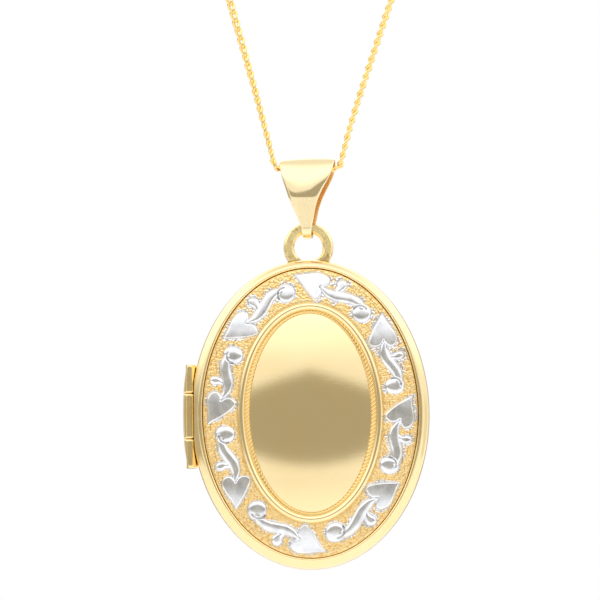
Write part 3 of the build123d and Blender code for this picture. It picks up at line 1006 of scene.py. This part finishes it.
BACK_INSIDE = (1.31, 1.1)  # its inner face's depth at the edge, and how far that one rises


def make_back():
    """The plain domed back, with a thin step where it meets its rim."""
    profile = dome_rows(cover_edge, EDGE_DEPTH, back_apex, 30)
    profile.append((*grown(cover_edge, -0.06), EDGE_DEPTH + 0.012))
    profile.append((*cover_edge, EDGE_DEPTH - 0.04))
    profile.append((*cover_edge, BACK_INSIDE[0]))
    profile += hollow_rows(cover_edge, (0.955, 0.7, 0.35), *BACK_INSIDE)
    back, _ = dome_object("back_dome", profile, 1, 512, polished)
    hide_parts("back_cover")
    return back


# --- Bail ---

BAIL_YAW = math.radians(-8)
BAIL_WALL = 0.35
BAIL_EYE_R = 1.057  # outside, where its lower end closes round the loop
BAIL_WIDEST_Z = -3.2  # where the leaves stand furthest apart
BAIL_ROUNDNESS = 2.12  # over 2, its folded top is squarer than an oval
BAIL_SLOPE = 1.13  # over 1, the leaves bow outwards on their way down to the eye
BAIL_SQUARENESS = 5  # of the strip's own section
BAIL_CROWN = (0, 0.24, 0.10)  # how far its outside bulges in the middle of its width
BAIL_CROWN_Z = (-5.8, BAIL_WIDEST_Z, 0.9)  # at these heights
BAIL_CROWN_FADE = 1.9  # a narrower strip bulges less, by its half width
BAIL_LIFT = 0.10
BAIL_LEAN = 0.28  # how far left its lower part hangs
BAIL_LEAN_WHOLE = 3.6  # how far down it leans that far
BAIL_LEAN_LESS = (3.4, 2.9, 0.75)  # how far down it starts to lean less, over what, how much
BAIL_COLUMNS = 72
BAIL_HALF_WIDTHS = ((0.95, 2.88), (0.45, 2.90), (-0.85, 2.60), (-2.50, 1.92), (-4.20, 1.26),
                    (-5.40, 0.88), (-6.10, 0.66), (-6.80, 0.54), (-7.60, 0.44))


def bail_side_curve():
    """The middle of the bail's wall seen from the side, once round from the top."""
    half_depth = bail_high[1] - BAIL_WALL / 2
    top = bail_high[2] - BAIL_WALL / 2 + BAIL_LIFT
    eye_r = BAIL_EYE_R - BAIL_WALL / 2
    eye_z = bail_low[2] + BAIL_EYE_R
    angle = np.linspace(0.5, 0, 40) * math.pi
    power = 2 / BAIL_ROUNDNESS
    top_y = half_depth * np.cos(angle) ** power
    top_z = BAIL_WIDEST_Z + (top - BAIL_WIDEST_Z) * np.sin(angle) ** power
    down = np.linspace(0, 1, 22)[1:]
    side_y = half_depth + (eye_r - half_depth) * down**BAIL_SLOPE
    side_z = BAIL_WIDEST_Z + (eye_z - BAIL_WIDEST_Z) * down
    under = np.linspace(0, 0.5, 12)[1:] * math.pi
    y = np.concatenate([top_y, side_y, eye_r * np.cos(under)])
    z = np.concatenate([top_z, side_z, eye_z - eye_r * np.sin(under)])
    half = np.stack([y, z], -1)
    return np.concatenate([half, half[-2:0:-1] * [-1, 1]])


def bail_lean(z):
    """How far to the left the bail hangs at a height; less at its eye, to clear the loop."""
    start, over, loss = BAIL_LEAN_LESS
    less = 1 - loss * smooth_step((-start - z) / over)
    return BAIL_LEAN * smooth_step(-z / BAIL_LEAN_WHOLE) * less


def squarer(wave):
    """A sine or cosine reshaped, so that the two together draw the strip's section."""
    return np.sign(wave) * np.abs(wave) ** (2 / BAIL_SQUARENESS)


def make_bail():
    """The folded strip, whose section is carried once round its side curve."""
    curve = bail_side_curve()
    ahead, behind = np.roll(curve, -1, 0), np.roll(curve, 1, 0)
    along = (ahead - behind) / np.linalg.norm(ahead - behind, axis=1)[:, None]
    outward = np.stack([-along[:, 1], along[:, 0]], -1)
    outward *= np.sign((outward * (curve - [0, BAIL_WIDEST_Z])).sum(-1))[:, None]
    heights, half_widths = zip(*spline(BAIL_HALF_WIDTHS, 8)[::-1])
    widths = np.interp(curve[:, 1], heights, half_widths)
    turn = np.linspace(0, TURN, BAIL_COLUMNS, endpoint=False)
    across, through = squarer(np.cos(turn)), squarer(np.sin(turn))
    rows = []
    for (y, z), (out_y, out_z), width in zip(curve, outward, widths):
        bulge = np.interp(z, BAIL_CROWN_Z, BAIL_CROWN) * min(1, width / BAIL_CROWN_FADE)
        off = through * BAIL_WALL / 2 + bulge * (0.4 - across**2)
        x = across * width - bail_lean(z)
        rows.append(np.stack([x, y + off * out_y, z + off * out_z], -1))
    points = np.concatenate(rows)
    x, y = points[:, 0].copy(), points[:, 1].copy()
    points[:, 0] = x * math.cos(BAIL_YAW) - y * math.sin(BAIL_YAW)
    points[:, 1] = x * math.sin(BAIL_YAW) + y * math.cos(BAIL_YAW)
    bail = make_mesh("bail_band", points, grid_faces(len(rows), BAIL_COLUMNS), bail_gold)
    # The inner face takes the painted bounce light
    set_attribute(bail, "inner", np.tile(smooth_step(-2.5 * through), len(rows)))
    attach(bail, "bail")
    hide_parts("bail")


# --- Studio ---

# Angles are in degrees, as seen from the locket.
FLOOR_Z = -140
FLOOR_HALF = 4000
CARD_R = 900
CAMERA_CARD_AWAY = 950
CAMERA_CARD_COLOUR = (0.44, 0.413, 0.355)
CAMERA_CARD_HALF = 58
CAMERA_CARD_HEIGHTS = (-14, 16.4)
CAMERA_CARD_RIGHT = 44  # where its shade ends on its right
SHADE_TOP = 14.7
SHADE_LOW = -4.4
SHADE_SIDE = 28  # this far aside, the shade has lost the next two at its top and foot
SHADE_TOP_LOSS = 3.4
SHADE_LOW_LOSS = 2.5
SHADE_FADE = 1.2
SHADE_SIDE_FADE = 8
# What the world's strength adds up from: direction Z from and to, and strength from and to.
WORLD_RAMPS = ((0.27, 0.44, 1.0, 1.5), (0.72, 0.94, 0, -0.55))


def make_floor():
    material = bpy.data.materials.new("floor")
    material.use_nodes = True
    surface = material.node_tree.nodes["Principled BSDF"]
    surface.inputs["Base Color"].default_value = (0.96, 0.96, 0.96, 1)
    surface.inputs["Roughness"].default_value = 0.9
    ends = ((-1, -1), (1, -1), (1, 1), (-1, 1))
    points = [(x * FLOOR_HALF, y * FLOOR_HALF, FLOOR_Z) for x, y in ends]
    make_mesh("floor", points, [[0, 1, 2, 3]], material)


def card_light(name, colour):
    """A glow that is white, and of this colour where the card's shade is 1."""
    material = bpy.data.materials.new(name)
    material.use_nodes = True
    tree = material.node_tree
    tree.nodes.remove(tree.nodes["Principled BSDF"])
    light = tree.nodes.new("ShaderNodeEmission")
    shade = tree.nodes.new("ShaderNodeAttribute")
    shade.attribute_name = "shade"
    mix = tree.nodes.new("ShaderNodeMix")
    mix.data_type = "RGBA"
    mix.inputs[6].default_value = (1.0, 1.0, 1.0, 1)
    mix.inputs[7].default_value = (*colour, 1)
    tree.links.new(shade.outputs["Fac"], mix.inputs[0])
    tree.links.new(mix.outputs[2], light.inputs["Color"])
    tree.links.new(light.outputs[0], tree.nodes["Material Output"].inputs["Surface"])
    return material


def add_card(name, rows, shades, colour):
    """A card from rows of points, unseen by the camera itself."""
    columns = len(rows[0])
    faces = [
        [r * columns + c, r * columns + c + 1, (r + 1) * columns + c + 1, (r + 1) * columns + c]
        for r in range(len(rows) - 1) for c in range(columns - 1)
    ]
    made = make_mesh(name, np.concatenate(rows), faces, card_light(name, colour))
    set_attribute(made, "shade", np.concatenate(shades))
    made.visible_camera = False
    made.visible_shadow = False


def make_round_card(name, middle, half, low, high, colour, softness):
    """A card bent round the locket, fading to white at its soft edges."""
    azimuth = np.linspace(-half, half, 49)
    turn = np.radians(middle + azimuth)
    x, y = CARD_R * np.sin(turn), -CARD_R * np.cos(turn)
    beside = smooth_step((half - np.abs(azimuth)) / softness)
    rows, shades = [], []
    for e in np.linspace(low, high, 33):
        z = body_z + CARD_R * math.tan(math.radians(e))
        rows.append(np.stack([x, y, np.full_like(x, z)], -1))
        under_top = smooth_step((high - e) / softness)
        shades.append(beside * under_top * smooth_step((e - low) / softness))
    add_card(name, rows, shades, colour)


def make_camera_card():
    """A warm grey card round the camera, which the polished faces show as their dark middle."""
    azimuth = np.linspace(-CAMERA_CARD_HALF, CAMERA_CARD_HALF, 61)
    turn = np.radians(azimuth)
    x, y = CAMERA_CARD_AWAY * np.tan(turn), np.full_like(turn, -CAMERA_CARD_AWAY)
    aside = np.abs(azimuth) / SHADE_SIDE
    top = SHADE_TOP - SHADE_TOP_LOSS * aside**1.15
    low = SHADE_LOW + SHADE_LOW_LOSS * aside**2
    beside = smooth_step((CAMERA_CARD_RIGHT - azimuth) / SHADE_SIDE_FADE)
    rows, shades = [], []
    for e in np.linspace(*CAMERA_CARD_HEIGHTS, 77):
        z = body_z + CAMERA_CARD_AWAY / np.cos(turn) * math.tan(math.radians(e))
        rows.append(np.stack([x, y, z], -1))
        under_top = smooth_step((top - e) / SHADE_FADE + 0.5)
        shades.append(beside * under_top * smooth_step((e - low) / SHADE_FADE + 0.5))
    add_card("camera_card", rows, shades, CAMERA_CARD_COLOUR)


def make_world():
    """White light all round, stronger from above and weaker from straight overhead."""
    world = bpy.data.worlds.new("studio")
    bpy.context.scene.world = world
    world.use_nodes = True
    tree = world.node_tree
    background = tree.nodes["Background"]
    background.inputs["Color"].default_value = (1, 1, 1, 1)
    place = tree.nodes.new("ShaderNodeTexCoord")
    parts = tree.nodes.new("ShaderNodeSeparateXYZ")
    tree.links.new(place.outputs["Generated"], parts.inputs[0])
    total = tree.nodes.new("ShaderNodeMath")
    total.operation = "ADD"
    for i, values in enumerate(WORLD_RAMPS):
        ramp = tree.nodes.new("ShaderNodeMapRange")
        for key, value in zip(("From Min", "From Max", "To Min", "To Max"), values):
            ramp.inputs[key].default_value = value
        tree.links.new(parts.outputs["Z"], ramp.inputs["Value"])
        tree.links.new(ramp.outputs["Result"], total.inputs[i])
    tree.links.new(total.outputs[0], background.inputs["Strength"])
    bpy.context.scene.view_settings.view_transform = "Standard"


# --- Putting it together ---

make_camera()
make_chain()
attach(make_rim("front_frame_rim", -1, "front_rim"), "front_half")
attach(make_rim("back_frame_rim", 1, "back_rim"), "back_half")
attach(make_border(), "front_half")
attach(make_centre(), "front_half")
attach(make_back(), "back_half")
make_bail()
for place, body in (("middle", "front_half"), ("top", "back_half"), ("bottom", "back_half")):
    make_knuckle("knuckle_" + place, "hinge_knuckle_" + place, body)

FINISHES = {
    polished: ("front_rim", "front_cover", "front_photo_frame", "back_rim", "back_cover",
               "snap_lip", "back_photo_frame", "bail", "clasp_case", "clasp_bolt", "end_tag"),
    hinge_gold: ("hinge_knuckle_middle", "hinge_knuckle_top", "hinge_knuckle_bottom", "hinge_pin"),
    brushed: ("top_loop",),
    chain_gold: ("chain", "chain_ring_left", "chain_ring_right", "clasp_eye"),
    steel: ("clasp_spring",),
    acetate: ("front_window", "back_window"),
    card: ("front_photo", "back_photo"),
}
for material, names in FINISHES.items():
    for name in names:
        nodes[name].data.materials[0] = material

make_floor()
make_camera_card()
make_round_card("left_card", -86, 40, -34, 20, (0.50, 0.465, 0.39), 10)
make_round_card("right_card", 92, 22, -24, 14, (0.86, 0.84, 0.78), 8)
make_round_card("back_card", 180, 46, -24, 30, (0.50, 0.48, 0.43), 14)
make_world()
